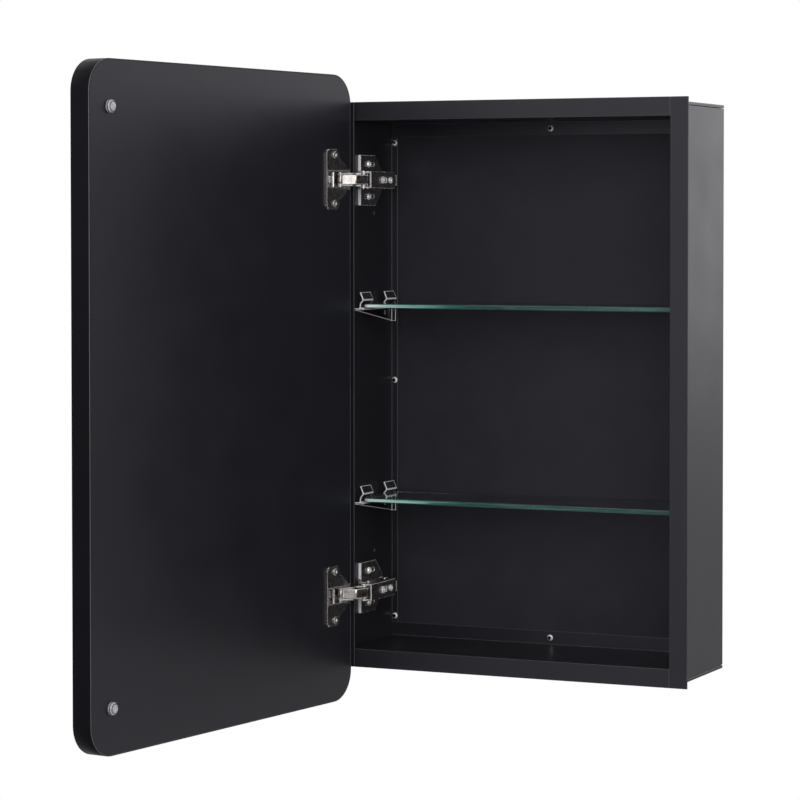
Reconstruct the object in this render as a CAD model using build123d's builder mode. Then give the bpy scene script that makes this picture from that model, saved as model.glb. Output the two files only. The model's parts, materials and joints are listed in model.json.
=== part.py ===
"""Wall-hung medicine cabinet with one mirror door on two concealed cup hinges.

Millimetres, +Z up, +Y into the wall, X = 0 on the cabinet's middle.
The origin is the centre of the four wall keyholes, on the wall plane.
The door is modelled standing open at `open_angle`.
"""

import os
from math import atan2, cos, degrees, hypot, radians, sin, tan

from build123d import *

os.makedirs("parts", exist_ok=True)

# Cabinet body
depth = 114.0  # wall plane to the front of the flange
flange_w = 365.0
flange_h = 555.0
rim_w = 18.0  # visible width of the stiles and rails
flange_t = 1.5
overhang = 4.5  # flange past the outside of the box
wall_t = 4.0
cap_t = 3.0
seam_gap = 0.4  # between each side wall and the caps of the top and bottom
skin_t = 1.5
side_lip_w = 6.5
rail_lip_h = 13.5
rear_recess = 6.5  # wall plane to the back of the lips
back_t = 1.2

# Door
door_w = 406.0
door_h = 610.0
door_t = 20.5
door_radius = 29.0
door_gap = 4.5  # flange to door back when shut
open_angle = 97.5
edge_open = (-164.0, -8.0)  # hinge edge of the open door, from the flange front
frame_t = 1.4
panel_t = 1.2
core_t = 14.1
adhesive_t = 1.0
mirror_t = 4.0
bumper_r = 6.0
bumper_chamfer = 1.6
bumper_inset_u = 28.5
bumper_inset_z = 42.0
door_drop = 2.0  # door centre below the cabinet centre

# Hinges: points on the door are (distance from hinge edge, depth into the door)
hinge_heights = {"upper": 201.5, "lower": -203.5}
cup_centre_u = 23.5
cup_r = 19.9
cup_depth = 12.0
pocket_depth = 10.8
pocket_length = 35.5
pocket_half_w = 7.2
cup_flange_t = 1.0
cup_edge_u = 44.3
cup_lip_w = 1.3
cup_lip_h = 1.0
cup_rib_w = 1.2
cup_pivot_inner = (13.0, 3.8)
cup_pivot_outer = (18.5, 8.3)
inner_offset = -40.0  # arm pivots, along each pivot's perpendicular bisector
outer_offset = -32.0
inner_pin_r = 1.75
small_pin_r = 1.45
running_fit = 0.05
link_t = 1.6
inner_half_w = 4.4
strap_span = (4.9, 6.3)
arm_wall_span = (6.8, 8.0)
cup_screw_u = 29.5
cup_screw_z = 23.5

# Driver recess in every screw head
recess_length = 3.6
recess_w = 0.9
recess_depth = 0.9

# Shelves
shelf_heights = {"upper": 75.0, "lower": -117.3}  # underside of the glass
glass_t = 4.5
glass_half_w = 168.0
glass_front = 24.0  # behind the flange front
glass_rear = 102.0

# Places that the sizes above fix
front_y = -depth
flange_back_y = front_y + flange_t
half_w = flange_w / 2
half_h = flange_h / 2
opening_half_w = half_w - rim_w
opening_half_h = half_h - rim_w
box_half_w = half_w - overhang
box_half_h = half_h - overhang
inner_half = box_half_w - wall_t
cap_low = box_half_h - cap_t
lip_low = opening_half_h - rail_lip_h
lip_back_y = -rear_recess
lip_front_y = lip_back_y - skin_t
wall_x = -inner_half  # inner face of the hinge-side wall


def block(x_span, y_span, z_span, mode=Mode.ADD):
    """Add or cut a rectangular block between the given limits."""
    spans = (x_span, y_span, z_span)
    centre = tuple((low + high) / 2 for low, high in spans)
    size = tuple(abs(high - low) for low, high in spans)
    with Locations(centre):
        Box(*size, mode=mode)


def post(point, radius, z_span, mode=Mode.ADD):
    """Add or cut an upright cylinder."""
    low, high = z_span
    with Locations((point[0], point[1], (low + high) / 2)):
        Cylinder(radius, abs(high - low), mode=mode)


def cross_pin(axis, point, radius, span, mode=Mode.ADD):
    """Add or cut a cylinder along X or Y; point holds its other two coordinates."""
    low, high = span
    middle = (low + high) / 2
    if axis == Axis.X:
        place, turn = (middle, point[0], point[1]), (0, 90, 0)
    else:
        place, turn = (point[0], middle, point[1]), (90, 0, 0)
    with Locations(place):
        Cylinder(radius, abs(high - low), rotation=turn, mode=mode)


def cross_recess(plane, places):
    """Cut a cross-shaped driver recess into screw heads whose tops lie in the plane."""
    with Locations(plane.location):
        with Locations(*[(x, y, -recess_depth / 2) for x, y in places]):
            Box(recess_length, recess_w, recess_depth, mode=Mode.SUBTRACT)
            Box(recess_w, recess_length, recess_depth, mode=Mode.SUBTRACT)


def write(piece, name):
    """Label one finished sub-part and write its STEP file."""
    piece.part.label = name
    export_step(piece.part, f"parts/{name}.step")


def plan(x, behind_flange):
    """Plan position from a distance behind the flange front."""
    return (x, front_y + behind_flange)


# Door position, open and shut
swing = radians(open_angle)
edge_point = plan(*edge_open)
along_door = (cos(swing), -sin(swing))
into_door = (-sin(swing), -cos(swing))
door_back = Plane(
    origin=(*edge_point, 0), x_dir=(*along_door, 0), z_dir=(*into_door, 0)
)


def on_open_door(u, v):
    """Plan position of a door point while the door stands open."""
    return (
        edge_point[0] + u * along_door[0] + v * into_door[0],
        edge_point[1] + u * along_door[1] + v * into_door[1],
    )


def on_shut_door(u, v):
    """Plan position of the same door point while the door is shut."""
    return (-door_w / 2 + u, front_y - door_gap - v)


def arm_pivot(cup_point, offset):
    """Fixed pivot that carries a cup pivot exactly from the open to the shut door."""
    start = on_open_door(*cup_point)
    end = on_shut_door(*cup_point)
    chord = hypot(end[0] - start[0], end[1] - start[1])
    normal = ((start[1] - end[1]) / chord, (end[0] - start[0]) / chord)
    return (
        (start[0] + end[0]) / 2 + normal[0] * offset,
        (start[1] + end[1]) / 2 + normal[1] * offset,
    )


cup_inner = on_open_door(*cup_pivot_inner)
cup_outer = on_open_door(*cup_pivot_outer)
arm_inner = arm_pivot(cup_pivot_inner, inner_offset)
arm_outer = arm_pivot(cup_pivot_outer, outer_offset)


# ---------------------------------------------------------------- cabinet body
back_screw_x = inner_half - side_lip_w / 2
back_screw_heights = (-240.0, 0.0, 240.0)
lip_screw_z = (lip_low + opening_half_h) / 2
back_screw_r = 1.5
plate_screw_y = front_y + 46.0
plate_screw_gap = 16.0
side_fixing_y = -50.0
side_fixing_z = 169.0
side_fixing_r = 2.1
peg_r = 2.0
peg_length = 3.0
peg_places = ((front_y + 36.0, -2.4), (front_y + 88.0, -6.0))  # y, height from glass


def make_side_panel(side, hinge_side):
    """One side: full-height front stile, wall and the lip that the back is fixed to."""
    with BuildPart() as panel:
        block(
            (side * opening_half_w, side * half_w),
            (front_y, flange_back_y),
            (-half_h, half_h),
        )
        block(
            (side * inner_half, side * box_half_w),
            (flange_back_y, 0),
            (seam_gap - cap_low, cap_low - seam_gap),
        )
        block(
            (side * (inner_half - side_lip_w), side * inner_half),
            (lip_front_y, lip_back_y),
            (-lip_low, lip_low),
        )
        for height in back_screw_heights:
            place = (side * back_screw_x, height)
            cross_pin(
                Axis.Y,
                place,
                back_screw_r,
                (lip_front_y, lip_back_y),
                mode=Mode.SUBTRACT,
            )
        peg_span = (side * inner_half, side * (inner_half + peg_length + 0.2))
        for height in shelf_heights.values():
            for peg_y, drop in peg_places:
                cross_pin(
                    Axis.X,
                    (peg_y, height + drop),
                    peg_r + running_fit,
                    peg_span,
                    mode=Mode.SUBTRACT,
                )
        if hinge_side:
            through = (side * inner_half, side * box_half_w)
            for height in hinge_heights.values():
                for offset in (-plate_screw_gap, plate_screw_gap):
                    cross_pin(
                        Axis.X,
                        (plate_screw_y, height + offset),
                        plate_screw_r,
                        through,
                        mode=Mode.SUBTRACT,
                    )
            for height in (-side_fixing_z, side_fixing_z):
                cross_pin(
                    Axis.X,
                    (side_fixing_y, height),
                    side_fixing_r,
                    through,
                    mode=Mode.SUBTRACT,
                )
    return panel


def make_end_panel(end):
    """Top (end = 1) or bottom (end = -1): a hollow profile with its rail and rear lip."""
    with BuildPart() as panel:
        block(
            (-opening_half_w, opening_half_w),
            (front_y, flange_back_y),
            (end * opening_half_h, end * half_h),
        )
        block(
            (-box_half_w, box_half_w), (flange_back_y, 0), (end * cap_low, end * box_half_h)
        )
        block(
            (-inner_half, inner_half),
            (flange_back_y, lip_back_y),
            (end * opening_half_h, end * (opening_half_h + skin_t)),
        )
        block(
            (-inner_half, inner_half), (lip_front_y, lip_back_y), (end * lip_low, end * cap_low)
        )
        cross_pin(
            Axis.Y,
            (0, end * lip_screw_z),
            back_screw_r,
            (lip_front_y, lip_back_y),
            mode=Mode.SUBTRACT,
        )
    return panel


def back_screw_places():
    """Where the back panel's screws stand: three each side, one top and one bottom."""
    sides = [(side * back_screw_x, z) for side in (-1, 1) for z in back_screw_heights]
    return sides + [(0, lip_screw_z), (0, -lip_screw_z)]


plate_screw_r = 1.9
write(make_side_panel(-1, True), "left_side_panel")
write(make_side_panel(1, False), "right_side_panel")
write(make_end_panel(1), "top_panel")
write(make_end_panel(-1), "bottom_panel")

# Back panel and the four keyhole plates behind it
panel_back_y = lip_back_y + back_t
hanger_x = 120.0
hanger_z = 215.0
hanger_half_h = 17.0
hanger_pad_half_w = 14.0
hanger_half_w = 27.0
hanger_t = 1.5
keyhole_r = 4.5
keyhole_slot_w = 4.6
keyhole_rise = 9.0
hanger_places = [(x, z) for x in (-hanger_x, hanger_x) for z in (-hanger_z, hanger_z)]

with BuildPart() as back_panel:
    block(
        (2 - inner_half, inner_half - 2), (lip_back_y, panel_back_y), (2 - cap_low, cap_low - 2)
    )
    for place in back_screw_places():
        cross_pin(Axis.Y, place, back_screw_r, (lip_back_y, panel_back_y), mode=Mode.SUBTRACT)
write(back_panel, "back_panel")

with BuildPart() as back_screws:
    for place in back_screw_places():
        cross_pin(Axis.Y, place, back_screw_r, (lip_front_y, -2.0))
    for x, z in back_screw_places():
        with Locations((x, lip_front_y, z)):
            with Locations(Rotation(90, 0, 0)):
                Cone(3.2, 2.0, 1.8, align=(Align.CENTER, Align.CENTER, Align.MIN))
    head_top = Plane(origin=(0, lip_front_y - 1.8, 0), x_dir=(1, 0, 0), z_dir=(0, -1, 0))
    cross_recess(head_top, back_screw_places())
write(back_screws, "back_panel_screws")

with BuildPart() as hangers:
    for x, z in hanger_places:
        foot_y = (panel_back_y, panel_back_y + hanger_t)
        z_span = (z - hanger_half_h, z + hanger_half_h)
        for side in (-1, 1):
            block((x + side * 12.5, x + side * hanger_half_w), foot_y, z_span)
            block((x + side * 12.5, x + side * hanger_pad_half_w), (panel_back_y, 0), z_span)
        block((x - hanger_pad_half_w, x + hanger_pad_half_w), (-hanger_t, 0), z_span)
        cross_pin(Axis.Y, (x, z), keyhole_r, (-hanger_t, 0), mode=Mode.SUBTRACT)
        block(
            (x - keyhole_slot_w / 2, x + keyhole_slot_w / 2),
            (-hanger_t, 0),
            (z, z + keyhole_rise),
            mode=Mode.SUBTRACT,
        )
        cross_pin(
            Axis.Y,
            (x, z + keyhole_rise),
            keyhole_slot_w / 2,
            (-hanger_t, 0),
            mode=Mode.SUBTRACT,
        )
write(hangers, "keyhole_plates")

# Angles glued inside the four hollow corners
angle_t = 1.5
angle_leg = 24.0
angle_y = (-96.0, -24.0)
with BuildPart() as corner_angles:
    for side in (-1, 1):
        for end in (-1, 1):
            block(
                (side * (inner_half - angle_leg), side * inner_half),
                angle_y,
                (end * (cap_low - angle_t), end * cap_low),
            )
            block(
                (side * (inner_half - angle_t), side * inner_half),
                angle_y,
                (end * (opening_half_h + skin_t + 0.3), end * cap_low),
            )
write(corner_angles, "corner_angles")


# --------------------------------------------------------------------- shelves
bracket_front = front_y + 20.0
bracket_back = front_y + 104.0
web_t = 1.6
ledge_w = 9.5
gusset_front = 2.2
gusset_rear = 15.0
end_wall_w = 6.0
prong_t = 1.4
prong_spans = ((25.0, 48.0), (79.0, 102.0))  # behind the flange front


def make_glass_shelf(height):
    """One clear glass shelf with rounded corners and eased edges."""
    with BuildPart() as shelf:
        with BuildSketch(Plane.XY.offset(height)):
            with Locations((0, front_y + (glass_front + glass_rear) / 2)):
                RectangleRounded(2 * glass_half_w, glass_rear - glass_front, 8)
        extrude(amount=glass_t)
        chamfer(shelf.edges().group_by(Axis.Z)[-1], 0.5)
        chamfer(shelf.edges().group_by(Axis.Z)[0], 0.5)
    return shelf


def make_bracket(side, height):
    """Moulded support: ledge, tapered web, end wall, two pegs and two snap prongs."""
    wall = side * inner_half
    with BuildPart() as bracket:
        with BuildSketch(Plane.YZ.offset(wall)):
            with BuildLine():
                Polyline(
                    (bracket_front, height),
                    (bracket_back, height),
                    (bracket_back, height - gusset_rear),
                    (bracket_front, height - gusset_front),
                    close=True,
                )
            make_face()
        extrude(amount=-side * web_t)
        block(
            (wall, wall - side * ledge_w),
            (bracket_front, bracket_back),
            (height - web_t, height),
        )
        block(
            (wall, wall - side * end_wall_w),
            (bracket_back - web_t, bracket_back),
            (height - gusset_rear, height),
        )
        for span_front, span_back in prong_spans:
            with BuildSketch(Plane.XZ.offset(-front_y - span_front)):
                with BuildLine():
                    Polyline(
                        (wall - side * 3.3, height - 0.8),
                        (wall - side * 4.0, height + 4.5),
                        (wall - side * 7.0, height + 8.0),
                        (wall - side * 3.8, height + 15.5),
                    )
                trace(line_width=prong_t)
            extrude(amount=span_front - span_back)
        for peg_y, drop in peg_places:
            cross_pin(
                Axis.X, (peg_y, height + drop), peg_r, (wall, wall + side * peg_length)
            )
    return bracket


for level, shelf_z in shelf_heights.items():
    write(make_glass_shelf(shelf_z), f"{level}_glass_shelf")
    for hand, side in (("left", -1), ("right", 1)):
        write(make_bracket(side, shelf_z), f"{level}_{hand}_bracket")


# ---------------------------------------------------------- hinges, fixed side
plate_t = 3.0
plate_front = front_y + 28.5
plate_wing_back = front_y + 62.0
plate_back = front_y + 78.0
plate_half_h = 25.0
plate_slot_length = 22.0
plate_slot_shift = 2.0
rail_half_w = 6.0
rail_top = wall_x + 8.5
arm_base_x = wall_x + 7.0
arm_web_span = (-147.9, -146.4)
arm_web_front = front_y + 1.0
arm_wall_front = front_y + 14.0
arm_back = front_y + 56.0
ear_r = 3.0
adjuster_places = ((front_y + 27.0, 3.6), (front_y + 44.5, 3.2))  # y, head radius
adjuster_shank_r = 2.0
arm_slot_y = (front_y + 20.0, front_y + 36.0)  # side-adjusting travel
arm_slot_w = 5.0
lever_pivot = (-156.0, front_y + 51.0)
lever_pin_r = 1.0
lever_half_w = 5.0
lever_t = 1.4


def make_mounting_plate(height):
    """Butterfly plate on the cabinet wall, with the raised rail that the arm clips on."""
    with BuildPart() as plate:
        with BuildSketch(Plane.YZ.offset(wall_x)):
            with BuildLine():
                Polyline(
                    (plate_front, height - plate_half_h),
                    (plate_wing_back, height - plate_half_h),
                    (plate_back, height - 9),
                    (plate_back, height + 9),
                    (plate_wing_back, height + plate_half_h),
                    (plate_front, height + plate_half_h),
                    close=True,
                )
            make_face()
            with Locations((plate_screw_y + plate_slot_shift, height)):
                with GridLocations(0, 2 * plate_screw_gap, 1, 2):
                    SlotOverall(plate_slot_length, 2 * plate_screw_r, mode=Mode.SUBTRACT)
        extrude(amount=plate_t)
        block(
            (wall_x + plate_t, rail_top),
            (plate_front + 4, plate_back),
            (height - rail_half_w, height + rail_half_w),
        )
        for place_y, _ in adjuster_places:
            cross_pin(
                Axis.X,
                (place_y, height),
                adjuster_shank_r,
                (wall_x + plate_t, rail_top),
                mode=Mode.SUBTRACT,
            )
    return plate


def make_arm(height):
    """Channel arm: top web, two side walls and the ears for the outer link's pivots."""
    low, high = arm_wall_span
    with BuildPart() as arm:
        block(
            arm_web_span,
            (arm_web_front, arm_back),
            (height - high, height + high),
        )
        for side in (-1, 1):
            wall_span = (height + side * low, height + side * high)
            block((arm_base_x, arm_web_span[1]), (arm_wall_front, arm_back), wall_span)
            block(
                (arm_outer[0] - ear_r, arm_web_span[1]),
                (arm_outer[1], arm_wall_front),
                wall_span,
            )
            post(arm_outer, ear_r, wall_span)
            post(arm_outer, small_pin_r, wall_span, mode=Mode.SUBTRACT)
            post(arm_inner, inner_pin_r, wall_span, mode=Mode.SUBTRACT)
            post(lever_pivot, lever_pin_r, wall_span, mode=Mode.SUBTRACT)
        for place_y, _ in adjuster_places:
            cross_pin(
                Axis.X, (place_y, height), adjuster_shank_r, arm_web_span, mode=Mode.SUBTRACT
            )
        block(
            arm_web_span, arm_slot_y, (height - arm_slot_w / 2, height + arm_slot_w / 2),
            mode=Mode.SUBTRACT,
        )
    return arm


def make_release_lever(height):
    """Sprung lever at the rear of the arm; pressing its tab frees the arm from the rail."""
    pivot_x, pivot_y = lever_pivot
    tab_y = arm_back + 3.0
    with BuildPart() as lever:
        with BuildSketch(Plane.XY.offset(height - lever_half_w)):
            with BuildLine():
                FilletPolyline(
                    (pivot_x, pivot_y),
                    (pivot_x, tab_y),
                    (arm_web_span[1], tab_y),
                    radius=1.5,
                )
            trace(line_width=lever_t)
            with Locations(lever_pivot):
                Circle(2.4)
                Circle(lever_pin_r + running_fit, mode=Mode.SUBTRACT)
        extrude(amount=2 * lever_half_w)
    return lever


for level, hinge_z in hinge_heights.items():
    write(make_mounting_plate(hinge_z), f"{level}_mounting_plate")
    write(make_arm(hinge_z), f"{level}_hinge_arm")
    write(make_release_lever(hinge_z), f"{level}_release_lever")

with BuildPart() as plate_screws:
    for hinge_z in hinge_heights.values():
        for offset in (-plate_screw_gap, plate_screw_gap):
            place = (plate_screw_y, hinge_z + offset)
            cross_pin(Axis.X, place, plate_screw_r, (-box_half_w + 0.4, wall_x + plate_t))
            with Locations((wall_x + plate_t, *place)):
                with Locations(Rotation(0, 90, 0)):
                    Cone(3.8, 2.6, 2.0, align=(Align.CENTER, Align.CENTER, Align.MIN))
            cross_recess(Plane.YZ.offset(wall_x + plate_t + 2.0), [place])
write(plate_screws, "mounting_plate_screws")

with BuildPart() as adjusters:
    for hinge_z in hinge_heights.values():
        for place_y, head_r in adjuster_places:
            place = (place_y, hinge_z)
            shank = (wall_x + plate_t + 0.5, arm_web_span[1])
            cross_pin(Axis.X, place, adjuster_shank_r, shank)
            head_top = arm_web_span[1] + 1.4
            cross_pin(Axis.X, place, head_r, (arm_web_span[1], head_top))
            cross_recess(Plane.YZ.offset(head_top), [place])
write(adjusters, "hinge_adjusting_screws")

pin_end = arm_wall_span[1] + 0.6
with BuildPart() as arm_pins:
    for hinge_z in hinge_heights.values():
        post(arm_inner, inner_pin_r, (hinge_z - pin_end, hinge_z + pin_end))
        for side in (-1, 1):
            stub = (hinge_z + side * (strap_span[0] - 0.15), hinge_z + side * pin_end)
            post(arm_outer, small_pin_r, stub)
write(arm_pins, "hinge_arm_pins")

with BuildPart() as lever_pins:
    for hinge_z in hinge_heights.values():
        post(lever_pivot, lever_pin_r, (hinge_z - pin_end, hinge_z + pin_end))
write(lever_pins, "release_lever_pins")


# --------------------------------------------------------------- hinges, links
inner_route = [
    arm_inner,
    plan(-151.5, 9.0),
    plan(-150.2, 0.2),
    plan(-155.8, -13.4),
    cup_inner,
]
outer_route = [
    arm_outer,
    plan(-161.0, -5.3),
    plan(-159.1, -13.4),
    plan(-167.1, -22.7),
    plan(-169.6, -23.6),
]
link_bend = 2.5


def make_inner_link(height):
    """Curved link in the hinge's middle; it carries the cup by a pin at each end."""
    with BuildPart() as link:
        with BuildSketch(Plane.XY.offset(height - inner_half_w)):
            with BuildLine():
                FilletPolyline(*inner_route, radius=link_bend)
            trace(line_width=link_t)
            with Locations(arm_inner):
                Circle(3.0)
                Circle(inner_pin_r + running_fit, mode=Mode.SUBTRACT)
            with Locations(cup_inner):
                Circle(2.5)
                Circle(small_pin_r + running_fit, mode=Mode.SUBTRACT)
        extrude(amount=2 * inner_half_w)
    return link


def make_outer_link(height):
    """Pair of curved straps beside the inner link, on stub pins in the arm's ears."""
    low, high = strap_span
    with BuildPart() as link:
        for start in (height + low, height - high):
            with BuildSketch(Plane.XY.offset(start)):
                with BuildLine():
                    FilletPolyline(*outer_route[:-1], radius=link_bend)
                trace(line_width=link_t)
                with BuildLine():
                    Line(outer_route[-2], outer_route[-1])
                trace(line_width=link_t)
                with Locations(outer_route[-2]):
                    Circle(link_t / 2)
                with Locations(arm_outer):
                    Circle(ear_r)
                    Circle(small_pin_r + running_fit, mode=Mode.SUBTRACT)
            extrude(amount=high - low)
    return link


for level, hinge_z in hinge_heights.items():
    write(make_inner_link(hinge_z), f"{level}_inner_link")
    write(make_outer_link(hinge_z), f"{level}_outer_link")


# ------------------------------------------------------------------------ door
cup_bore_r = cup_r + 0.1
core_start = panel_t
adhesive_start = core_start + core_t
mirror_start = adhesive_start + adhesive_t
door_middle = (door_w / 2, -door_drop)
cup_places = [(cup_centre_u, z) for z in hinge_heights.values()]
cup_screw_places = [
    (cup_screw_u, z + dz) for z in hinge_heights.values() for dz in (-cup_screw_z, cup_screw_z)
]
cup_screw_r = 1.8
cup_screw_length = 11.0

with BuildPart() as door_frame:
    with BuildSketch(door_back):
        with Locations(door_middle):
            RectangleRounded(door_w, door_h, door_radius)
            RectangleRounded(
                door_w - 2 * frame_t,
                door_h - 2 * frame_t,
                door_radius - frame_t,
                mode=Mode.SUBTRACT,
            )
    extrude(amount=door_t)
write(door_frame, "door_frame")


def make_door_layer(start, thickness, inset):
    """One flat sheet inside the door frame."""
    with BuildPart() as layer:
        with BuildSketch(door_back.offset(start)):
            with Locations(door_middle):
                RectangleRounded(
                    door_w - 2 * (frame_t + inset),
                    door_h - 2 * (frame_t + inset),
                    door_radius - frame_t - inset,
                )
        extrude(amount=thickness)
    return layer


with BuildPart() as door_back_panel:
    add(make_door_layer(0, panel_t, 0).part)
    with BuildSketch(door_back):
        with Locations(*cup_places):
            Circle(cup_bore_r)
        with Locations(*cup_screw_places):
            Circle(cup_screw_r)
    extrude(amount=panel_t, mode=Mode.SUBTRACT)
write(door_back_panel, "door_back_panel")

with BuildPart() as door_core:
    add(make_door_layer(core_start, core_t, 0).part)
    with BuildSketch(door_back.offset(core_start)):
        with Locations(*cup_places):
            Circle(cup_bore_r)
    extrude(amount=cup_depth + 0.2 - core_start, mode=Mode.SUBTRACT)
    with BuildSketch(door_back.offset(core_start)):
        with Locations(*cup_screw_places):
            Circle(cup_screw_r)
    extrude(amount=cup_screw_length - core_start, mode=Mode.SUBTRACT)
write(door_core, "door_core")

write(make_door_layer(adhesive_start, adhesive_t, 6.0), "mirror_adhesive")
write(make_door_layer(mirror_start, mirror_t, 0.3), "mirror_glass")

with BuildPart() as bumpers:
    with BuildSketch(door_back):
        with Locations((door_w - bumper_inset_u, -door_drop)):
            with GridLocations(0, door_h - 2 * bumper_inset_z, 1, 2):
                Circle(bumper_r)
    extrude(amount=-(door_gap - 0.4))
    rims = bumpers.edges().filter_by(GeomType.CIRCLE).sort_by(Axis.X)[-2:]
    chamfer(rims, bumper_chamfer)
write(bumpers, "door_bumpers")


def make_cup(height):
    """Die-cast cup with its trapezium flange, pocket and the two pivot holes."""
    with BuildPart() as cup:
        with BuildSketch(door_back):
            with Locations((cup_centre_u, height)):
                Circle(cup_r)
        extrude(amount=cup_depth)
        with BuildSketch(door_back):
            with BuildLine():
                Polyline(
                    (3.0, height - 9.5),
                    (7.0, height - 9.5),
                    (20.0, height - 18.0),
                    (22.5, height - 26.0),
                    (25.5, height - 29.0),
                    (cup_edge_u - 3.5, height - 29.0),
                    (cup_edge_u, height - 25.5),
                    (cup_edge_u, height),
                )
                mirror(about=Plane.XZ.offset(-height))
                Line((3.0, height - 9.5), (3.0, height + 9.5))
            make_face()
            with Locations((cup_screw_u, height)):
                with GridLocations(0, 2 * cup_screw_z, 1, 2):
                    Circle(cup_screw_r, mode=Mode.SUBTRACT)
        extrude(amount=-cup_flange_t)
        with BuildSketch(door_back.offset(-cup_flange_t)):
            with BuildLine():
                Polyline(
                    (cup_edge_u - 3.5 - cup_lip_w / 2, height - 29.0 + cup_lip_w / 2),
                    (cup_edge_u - cup_lip_w / 2, height - 25.5),
                    (cup_edge_u - cup_lip_w / 2, height + 25.5),
                    (cup_edge_u - 3.5 - cup_lip_w / 2, height + 29.0 - cup_lip_w / 2),
                )
            trace(line_width=cup_lip_w)
            with Locations((cup_centre_u + 3.0, height)):
                Rectangle(pocket_length - 3.0, 2 * (pocket_half_w + cup_rib_w))
        extrude(amount=-cup_lip_h)
        with BuildSketch(door_back.offset(-cup_flange_t - cup_lip_h)):
            with Locations((cup_centre_u, height)):
                RectangleRounded(pocket_length, 2 * pocket_half_w, 1.2)
        extrude(amount=pocket_depth + cup_flange_t + cup_lip_h, mode=Mode.SUBTRACT)
        for point in (cup_inner, cup_outer):
            bore_end = pocket_half_w + 2.4
            post(point, small_pin_r, (height - bore_end, height + bore_end), mode=Mode.SUBTRACT)
    return cup


for level, hinge_z in hinge_heights.items():
    write(make_cup(hinge_z), f"{level}_hinge_cup")

with BuildPart() as cup_pins:
    for hinge_z in hinge_heights.values():
        for point in (cup_inner, cup_outer):
            pin_half = pocket_half_w + 2.2
            post(point, small_pin_r, (hinge_z - pin_half, hinge_z + pin_half))
write(cup_pins, "cup_pivot_pins")

with BuildPart() as cup_screws:
    with BuildSketch(door_back.offset(-cup_flange_t)):
        with Locations(*cup_screw_places):
            Circle(3.5)
    extrude(amount=-1.3)
    with BuildSketch(door_back.offset(-cup_flange_t)):
        with Locations(*cup_screw_places):
            Circle(cup_screw_r)
    extrude(amount=cup_flange_t + cup_screw_length)
    head_top = Plane(
        origin=(*on_open_door(0, -cup_flange_t - 1.3), 0),
        x_dir=(*along_door, 0),
        z_dir=(-into_door[0], -into_door[1], 0),
    )
    cross_recess(head_top, [(u, -z) for u, z in cup_screw_places])
write(cup_screws, "cup_screws")

with BuildPart() as springs:
    with BuildSketch(door_back.offset(pocket_depth - 0.6)):
        with Locations(*cup_places):
            Rectangle(24.0, 7.0)
    extrude(amount=0.6)
write(springs, "closing_springs")


def turn(pivot, cup_point):
    """Angle in degrees that a link turns from the open door to the shut one."""
    start = on_open_door(*cup_point)
    end = on_shut_door(*cup_point)
    start_angle = atan2(start[1] - pivot[1], start[0] - pivot[0])
    end_angle = atan2(end[1] - pivot[1], end[0] - pivot[0])
    return degrees(end_angle - start_angle)


print("arm pivot of inner link", arm_inner, "turns", turn(arm_inner, cup_pivot_inner))
print("arm pivot of outer link", arm_outer, "turns", turn(arm_outer, cup_pivot_outer))
print("cup pivot of inner link", cup_inner, "and outer", cup_outer)
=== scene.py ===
"""Looks of the medicine cabinet: materials, glass, lights and camera around the CAD model."""

import json
import math

import bmesh
import bpy
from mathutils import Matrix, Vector


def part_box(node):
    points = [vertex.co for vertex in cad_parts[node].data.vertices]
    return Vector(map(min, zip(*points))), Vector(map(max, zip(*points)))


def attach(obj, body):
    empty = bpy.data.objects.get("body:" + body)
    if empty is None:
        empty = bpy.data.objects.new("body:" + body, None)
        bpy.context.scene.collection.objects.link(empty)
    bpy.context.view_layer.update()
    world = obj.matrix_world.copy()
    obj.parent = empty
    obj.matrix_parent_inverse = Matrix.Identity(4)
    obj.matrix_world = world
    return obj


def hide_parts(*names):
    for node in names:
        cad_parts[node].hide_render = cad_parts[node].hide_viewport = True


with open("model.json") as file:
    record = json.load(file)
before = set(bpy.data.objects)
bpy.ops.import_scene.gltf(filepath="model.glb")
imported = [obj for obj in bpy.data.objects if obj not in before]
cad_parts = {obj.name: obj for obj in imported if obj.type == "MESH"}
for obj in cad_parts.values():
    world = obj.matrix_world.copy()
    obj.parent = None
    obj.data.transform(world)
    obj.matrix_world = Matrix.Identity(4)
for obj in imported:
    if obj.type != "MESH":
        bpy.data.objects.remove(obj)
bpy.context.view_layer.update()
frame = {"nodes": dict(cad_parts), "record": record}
nodes = frame["nodes"]
MM = 0.001


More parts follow.
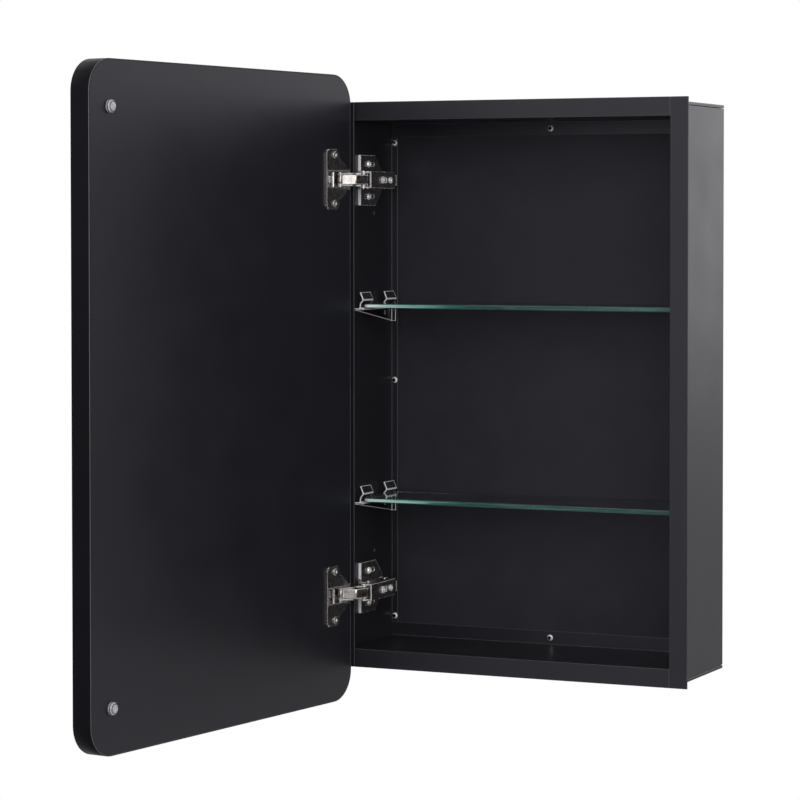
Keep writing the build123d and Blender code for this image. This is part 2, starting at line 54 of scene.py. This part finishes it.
# ------------------------------------------------------------------ materials
class Shader:
    """Builds one material: adds shader nodes and links them."""

    def __init__(self, name):
        self.material = bpy.data.materials.new(name)
        self.material.use_nodes = True
        self.tree = self.material.node_tree
        self.surface = self.tree.nodes["Principled BSDF"]
        self.place = self.add("ShaderNodeTexCoord").outputs["Object"]

    def add(self, kind, **inputs):
        node = self.tree.nodes.new(kind)
        for key, value in inputs.items():
            node.inputs[key.replace("_", " ")].default_value = value
        return node

    def link(self, output, target):
        self.tree.links.new(output, target)

    def set(self, **values):
        for key, value in values.items():
            self.surface.inputs[key.replace("_", " ")].default_value = value
        return self

    def noise(self, scale, detail=3.0, roughness=0.5, stretch=None):
        """A noise pattern; scale is in features per metre, stretch scales its axes."""
        texture = self.add(
            "ShaderNodeTexNoise", Scale=scale, Detail=detail, Roughness=roughness
        )
        source = self.place
        if stretch:
            mapping = self.add("ShaderNodeMapping")
            mapping.inputs["Scale"].default_value = stretch
            self.link(source, mapping.inputs["Vector"])
            source = mapping.outputs["Vector"]
        self.link(source, texture.inputs["Vector"])
        return texture.outputs["Fac"]

    def spread(self, factor, low, high, from_low=0.3, from_high=0.7):
        """Maps a 0 to 1 pattern onto low to high."""
        ramp = self.add("ShaderNodeMapRange")
        ramp.inputs["From Min"].default_value = from_low
        ramp.inputs["From Max"].default_value = from_high
        ramp.inputs["To Min"].default_value = low
        ramp.inputs["To Max"].default_value = high
        self.link(factor, ramp.inputs["Value"])
        return ramp.outputs["Result"]

    def colours(self, factor, dark, light):
        ramp = self.add("ShaderNodeValToRGB")
        ramp.color_ramp.elements[0].position = 0.3
        ramp.color_ramp.elements[0].color = (*dark, 1)
        ramp.color_ramp.elements[1].position = 0.7
        ramp.color_ramp.elements[1].color = (*light, 1)
        self.link(factor, ramp.inputs["Fac"])
        self.link(ramp.outputs["Color"], self.surface.inputs["Base Color"])

    def roughness(self, factor, low, high):
        self.link(self.spread(factor, low, high), self.surface.inputs["Roughness"])

    def bump(self, factor, height_mm, strength=1.0):
        bump = self.add("ShaderNodeBump", Strength=strength, Distance=height_mm * MM)
        self.link(factor, bump.inputs["Height"])
        self.link(bump.outputs["Normal"], self.surface.inputs["Normal"])


def powder_coat(name, shade, rough, gloss=0.5):
    """Fine-textured black powder coat: faint orange peel and uneven gloss."""
    coat = Shader(name)
    coat.set(Metallic=0.0, Specular_IOR_Level=gloss, Specular_Tint=(0.90, 0.87, 1.0, 1))
    darker = tuple(channel * 0.85 for channel in shade)
    coat.colours(coat.noise(35, 4), darker, shade)
    coat.roughness(coat.noise(18, 3), rough - 0.03, rough + 0.03)
    coat.bump(coat.noise(900, 2, 0.6), 0.03, 0.35)
    return coat.material


def plated(name, dark, light, rough, grain=(1, 1, 1), metallic=1.0):
    """Nickel or zinc plate over pressed steel, with rolling grain."""
    metal = Shader(name)
    metal.set(Metallic=metallic)
    metal.colours(metal.noise(120, 4, 0.6, grain), dark, light)
    metal.roughness(metal.noise(260, 4, 0.6, grain), rough - 0.06, rough + 0.08)
    metal.bump(metal.noise(700, 3, 0.6, grain), 0.02, 0.5)
    return metal.material


def clear(name, tint, rough, ior=1.5):
    """Clear glass or plastic with faint smears."""
    body = Shader(name)
    body.set(
        Base_Color=(*tint, 1), Metallic=0.0, IOR=ior, Transmission_Weight=1.0
    )
    body.roughness(body.noise(14, 3), rough, rough + 0.03)
    return body.material


def mirror_silver(name):
    """Silvered float glass with a hardly visible haze."""
    silver = Shader(name)
    silver.set(Base_Color=(0.93, 0.945, 0.94, 1), Metallic=1.0)
    silver.roughness(silver.noise(6, 4), 0.012, 0.035)
    return silver.material


def plain(name, dark, light, rough, grain=60, relief=0.05):
    """Raw board, adhesive or rubber: uneven colour, gloss and grain."""
    stuff = Shader(name)
    stuff.colours(stuff.noise(grain, 5, 0.65), dark, light)
    stuff.roughness(stuff.noise(grain * 2, 3), rough - 0.06, rough + 0.06)
    stuff.bump(stuff.noise(grain * 8, 3), relief, 0.5)
    return stuff.material


def edge_glass(name, half_w):
    """The ground green edge of float glass, paler and streaky towards its left end: the paler
    end, up to near-white, is a painted highlight.
    """
    edge = Shader(name)
    edge.set(Metallic=0.0, IOR=1.5, Specular_IOR_Level=0.4)
    along = edge.add("ShaderNodeSeparateXYZ")
    edge.link(edge.place, along.inputs["Vector"])
    # Painted highlight: the edge gets paler towards its left end, near-white at the end itself
    painted_left_light = edge.spread(along.outputs["X"], 0.92, 0.12, -half_w, -0.3 * half_w)
    streaks = edge.spread(edge.noise(16, 4, 0.6, (1.0, 0.2, 28.0)), -0.24, 0.24)
    total = edge.add("ShaderNodeMath")
    edge.link(painted_left_light, total.inputs[0])
    edge.link(streaks, total.inputs[1])
    # The ramp runs from the dark green of the glass to a near-white painted highlight
    ramp = edge.add("ShaderNodeValToRGB")
    stops = ramp.color_ramp.elements
    stops[0].color = (0.010, 0.045, 0.040, 1)
    stops[1].color = (0.92, 1.0, 0.98, 1)
    stops.new(0.35).color = (0.05, 0.15, 0.135, 1)
    stops.new(0.60).color = (0.24, 0.50, 0.43, 1)
    edge.link(total.outputs["Value"], ramp.inputs["Fac"])
    edge.link(ramp.outputs["Color"], edge.surface.inputs["Base Color"])
    edge.roughness(edge.noise(90, 3), 0.12, 0.3)
    edge.bump(edge.noise(600, 2), 0.03, 0.4)
    return edge.material


looks = {
    "cabinet_metal": powder_coat("cabinet_powder_coat", (0.0105, 0.0100, 0.0128), 0.34),
    "back_sheet": powder_coat("back_powder_coat", (0.0250, 0.0240, 0.0300), 0.40, 0.20),
    # The door frame's coat is darker than the door's back sheet: a painted shade on the same
    # black powder coat
    "door_metal": powder_coat("door_frame_painted_shade_coat", (0.0046, 0.0043, 0.0060), 0.30, 0.08),
    "door_back_sheet": powder_coat("door_back_coat", (0.0108, 0.0105, 0.0132), 0.34),
    "door_core_board": plain("door_core_board", (0.30, 0.19, 0.10), (0.42, 0.28, 0.16), 0.8),
    "adhesive": plain("adhesive", (0.02, 0.02, 0.02), (0.035, 0.035, 0.035), 0.6),
    "mirror": mirror_silver("mirror_silver"),
    "bumper_rubber": plain(
        "bumper_rubber", (0.24, 0.24, 0.26), (0.58, 0.58, 0.61), 0.16, 420, 0.05
    ),
    "shelf_glass": clear("shelf_glass_face", (0.90, 0.985, 0.95), 0.0),
    "clear_plastic": clear("clear_plastic", (0.80, 0.82, 0.83), 0.06, 1.49),
    "hinge_nickel": plated("hinge_nickel", (0.32, 0.30, 0.28), (0.46, 0.43, 0.40), 0.28),
    "pin_steel": plated("pin_steel", (0.58, 0.57, 0.56), (0.70, 0.69, 0.68), 0.22),
    "fastener_steel": plated(
        "fastener_steel", (0.80, 0.80, 0.80), (0.94, 0.94, 0.93), 0.36, metallic=0.55
    ),
    "zinc_plated_steel": plated("zinc_sheet", (0.50, 0.51, 0.52), (0.64, 0.65, 0.66), 0.34),
}
# Edge materials for the bevel faces: the lighter ones are painted highlights along the edges,
# and the bumper's dark rim is a painted shade
painted_edge_light = {
    "cabinet_metal": powder_coat("cabinet_edge_highlight", (0.048, 0.046, 0.054), 0.30),
    "door_metal": powder_coat("door_edge_highlight", (0.085, 0.082, 0.096), 0.26),
    "hinge_nickel": plated(
        "hinge_edge_highlight", (0.94, 0.92, 0.90), (1.0, 0.99, 0.97), 0.42, metallic=0.35
    ),
    "clear_plastic": plain(
        "clear_plastic_edge_highlight", (0.84, 0.85, 0.87), (0.95, 0.96, 0.97), 0.2, 90, 0.02
    ),
    "bumper_rubber": plain(
        "bumper_rim_shade", (0.035, 0.035, 0.04), (0.06, 0.06, 0.065), 0.3, 80, 0.02
    ),
    "fastener_steel": plated(
        "fastener_edge_highlight", (0.90, 0.90, 0.90), (0.98, 0.98, 0.97), 0.36, metallic=0.4
    ),
}
# One screw steel in two copies: the cup screws darker, a painted shade, and the back panel
# screws near-white, a painted glint
painted_screw_light = {
    "cup_screws": plated("cup_screw_painted_shade", (0.20, 0.19, 0.18), (0.34, 0.33, 0.31), 0.3),
    "back_panel_screws": plated(
        "screw_painted_glint", (0.92, 0.92, 0.92), (1.0, 1.0, 1.0), 0.3, metallic=0.2
    ),
}
# Near-white material for skins over the plates' front edges: a painted highlight
plate_edge_highlight_look = plated(
    "plate_edge_painted_highlight", (0.95, 0.95, 0.94), (1.0, 1.0, 1.0), 0.36, metallic=0.1
)
slot_of = {row["node"]: row["material_slot"] for row in frame["record"]["subparts"]}
for name, piece in nodes.items():
    piece.data.materials.clear()
    piece.data.materials.append(painted_screw_light.get(name, looks[slot_of[name]]))

# Sharp CAD edges get a small break in mm, as pressed, moulded and coated edges have
weld_gap = 0.002 * MM  # the imported faces don't share vertices until they are welded
flat_angle = 0.5  # degrees, below which neighbouring faces are one flat face
sharp_angle = 40  # degrees, above which an edge is broken
edge_break = {
    "cabinet_metal": 0.5,
    "back_sheet": 0.2,
    "door_metal": 0.5,
    "hinge_nickel": 0.35,
    "clear_plastic": 0.55,
    "fastener_steel": 0.25,
    "bumper_rubber": 0.5,
    "mirror": 0.3,
    "zinc_plated_steel": 0.2,
}
# Narrower where thin walls meet at sharp corners, which a wider break would tear
fine_edge_break = {"hinge_cup": 0.10, "release_lever": 0.15, "outer_link": 0.20}
for name, piece in nodes.items():
    width = edge_break.get(slot_of[name])
    for kind, narrower in fine_edge_break.items():
        if kind in name:
            width = narrower
    if width:
        weld = piece.modifiers.new("weld", "WELD")
        weld.merge_threshold = weld_gap
        flats = piece.modifiers.new("flats", "DECIMATE")
        flats.decimate_type = "DISSOLVE"
        flats.angle_limit = math.radians(flat_angle)
        bevel = piece.modifiers.new("edge_break", "BEVEL")
        bevel.width = width * MM
        bevel.segments = 2
        bevel.limit_method = "ANGLE"
        bevel.angle_limit = math.radians(sharp_angle)
        bevel.miter_outer = "MITER_ARC"
        bevel.use_clamp_overlap = False
        bevel.harden_normals = True
        # The bevel faces take the edge material: painted highlights, and a painted shade on the
        # bumper's rim
        edge_look = painted_edge_light.get(slot_of[name])
        if edge_look:
            piece.data.materials.append(edge_look)
            bevel.material = 1


# -------------------------------------------------------------- glass shelves
def rounded_outline(half_w, front, rear, radius, steps=8):
    """Corner points of a rounded rectangle, in metres, anticlockwise from above."""
    centres = (
        (half_w - radius, rear - radius, 0),
        (radius - half_w, rear - radius, 90),
        (radius - half_w, front + radius, 180),
        (half_w - radius, front + radius, 270),
    )
    points = []
    for x, y, start in centres:
        for step in range(steps + 1):
            angle = math.radians(start + 90 * step / steps)
            points.append((x + radius * math.cos(angle), y + radius * math.sin(angle)))
    return points


shelf_radius = 8 * MM
shelf_arris = 0.4 * MM  # how far the ground rim stands back from the edge
shelf_rim_h = 0.9 * MM


def glass_shelf(node, clear_look, edge_look, rim_look):
    """The shelf with clear faces and green ground edges, in place of the CAD glass."""
    (x0, y0, z0), (x1, y1, z1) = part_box(node)
    half_w = (x1 - x0) / 2
    shape = bmesh.new()
    rings = []
    for height, inset in (
        (z0, shelf_arris), (z0 + shelf_rim_h, 0), (z1 - shelf_rim_h, 0), (z1, shelf_arris)
    ):
        outline = rounded_outline(
            half_w - inset, y0 + inset, y1 - inset, shelf_radius - inset
        )
        rings.append([shape.verts.new((x, y, height)) for x, y in outline])
    for lower, upper, look in zip(rings, rings[1:], (2, 1, 2)):
        for k in range(len(lower)):
            n = (k + 1) % len(lower)
            face = shape.faces.new((lower[k], lower[n], upper[n], upper[k]))
            face.material_index = look
    shape.faces.new(list(reversed(rings[0])))
    shape.faces.new(rings[-1])
    mesh = bpy.data.meshes.new(node + "_look")
    shape.to_mesh(mesh)
    shape.free()
    pane = bpy.data.objects.new(node + "_look", mesh)
    bpy.context.scene.collection.objects.link(pane)
    for look in (clear_look, edge_look, rim_look):
        pane.data.materials.append(look)
    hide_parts(node)
    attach(pane, "cabinet")


shelf_edge = edge_glass("shelf_glass_edge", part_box("upper_glass_shelf")[1].x)
shelf_rim = plain(
    "shelf_glass_rim", (0.012, 0.052, 0.046), (0.03, 0.10, 0.09), 0.2, 120, 0.02
)
for shelf in ("upper_glass_shelf", "lower_glass_shelf"):
    glass_shelf(shelf, looks["shelf_glass"], shelf_edge, shelf_rim)


# ------------------------------------------------ painted highlights on the front edges of plates
plate_t = 3 * MM
skin_proud = 0.12 * MM  # in front of the plate's edge
edge_margin = 0.2 * MM
end_margin = 0.4 * MM
rail_half_h = 9 * MM  # the skin leaves the plate's raised rail bare


def painted_highlight_skin(name, node, inner_z, outer_z):
    """A near-white skin on the front edge of a mounting plate, above or below its rail: a
    painted highlight.
    """
    low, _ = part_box(node)
    xs = (low.x + edge_margin, low.x + plate_t - edge_margin)
    ys = (low.y - skin_proud, low.y + skin_proud)
    corners = [(x, y, z) for x in xs for y in ys for z in (inner_z, outer_z)]
    sides = [(0, 1, 3, 2), (4, 6, 7, 5), (0, 4, 5, 1), (2, 3, 7, 6), (0, 2, 6, 4), (1, 5, 7, 3)]
    mesh = bpy.data.meshes.new(name)
    mesh.from_pydata(corners, [], sides)
    mesh.validate()
    skin = bpy.data.objects.new(name, mesh)
    bpy.context.scene.collection.objects.link(skin)
    skin.data.materials.append(plate_edge_highlight_look)
    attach(skin, "cabinet")


for level in ("upper", "lower"):
    plate = level + "_mounting_plate"
    low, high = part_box(plate)
    middle = (low.z + high.z) / 2
    for part, end, sign in (("top", high.z, 1), ("bottom", low.z, -1)):
        inner = middle + sign * rail_half_h
        outer = end - sign * end_margin
        painted_highlight_skin(f"{level}_plate_edge_{part}", plate, min(inner, outer), max(inner, outer))


# ------------------------------------------------------------ floor and lights
floor_z = -1.35
floor_half = 60.0
mesh = bpy.data.meshes.new("floor")
mesh.from_pydata(
    [
        (-floor_half, -floor_half, floor_z),
        (floor_half, -floor_half, floor_z),
        (floor_half, floor_half, floor_z),
        (-floor_half, floor_half, floor_z),
    ],
    [],
    [(0, 1, 2, 3)],
)
floor = bpy.data.objects.new("floor", mesh)
bpy.context.scene.collection.objects.link(floor)
pale = Shader("pale_floor")
pale.colours(pale.noise(0.6, 2), (0.40, 0.40, 0.40), (0.44, 0.44, 0.44))
pale.set(Roughness=0.9, Specular_IOR_Level=0.1)
floor.data.materials.append(pale.material)
glow = pale.add("ShaderNodeEmission", Color=(1, 1, 1, 1), Strength=1.0)
seen = pale.add("ShaderNodeLightPath")
blend = pale.add("ShaderNodeMixShader")
pale.link(seen.outputs["Is Camera Ray"], blend.inputs["Fac"])
pale.link(pale.surface.outputs["BSDF"], blend.inputs[1])
pale.link(glow.outputs["Emission"], blend.inputs[2])
pale.link(blend.outputs["Shader"], pale.tree.nodes["Material Output"].inputs["Surface"])

# A white backdrop for the camera and a softer white room for lighting
world = bpy.data.worlds.new("studio")
bpy.context.scene.world = world
world.use_nodes = True
room = world.node_tree
sky = room.nodes["Background"]
sky.inputs["Color"].default_value = (1.0, 0.99, 1.0, 1)
sky.inputs["Strength"].default_value = 0.84
backdrop = room.nodes.new("ShaderNodeBackground")
backdrop.inputs["Color"].default_value = (1, 1, 1, 1)
backdrop.inputs["Strength"].default_value = 1.0
seen = room.nodes.new("ShaderNodeLightPath")
blend = room.nodes.new("ShaderNodeMixShader")
room.links.new(seen.outputs["Is Camera Ray"], blend.inputs["Fac"])
room.links.new(sky.outputs["Background"], blend.inputs[1])
room.links.new(backdrop.outputs["Background"], blend.inputs[2])
room.links.new(blend.outputs["Shader"], room.nodes["World Output"].inputs["Surface"])


def softbox(name, place, aim, size, power):
    """One rectangular area light pointing at a place."""
    light = bpy.data.lights.new(name, "AREA")
    light.shape = "RECTANGLE"
    light.size, light.size_y = size
    light.energy = power
    lamp = bpy.data.objects.new(name, light)
    bpy.context.scene.collection.objects.link(lamp)
    lamp.location = place
    lamp.rotation_mode = "QUATERNION"
    lamp.rotation_quaternion = (Vector(place) - Vector(aim)).to_track_quat("Z", "Y")
    return lamp


softbox("key", (-1.3, -2.8, 0.5), (0, -0.1, 0), (2.0, 2.0), 4)
softbox("front_right", (1.9, -2.6, 1.0), (-0.1, -0.1, 0), (2.4, 2.2), 46)
softbox("rear_right", (1.0, 2.8, 0.6), (0.15, -0.1, 0.1), (2.0, 1.5), 6)

# --------------------------------------------------------------------- camera
camera_place = (1.1293, -2.7458, 0.1622)
camera_yaw = math.radians(24.34)
camera_pitch = math.radians(1.726)
focal_mm = 134.53
camera = bpy.data.cameras.new("camera")
camera.lens = focal_mm
camera.sensor_width = 36.0
camera.shift_x = -0.0625
camera.shift_y = -0.1125
camera_object = bpy.data.objects.new("camera", camera)
bpy.context.scene.collection.objects.link(camera_object)
camera_object.location = camera_place
camera_object.rotation_euler = (math.pi / 2 - camera_pitch, 0, camera_yaw)
bpy.context.scene.camera = camera_object
bpy.context.scene.view_settings.view_transform = "Standard"
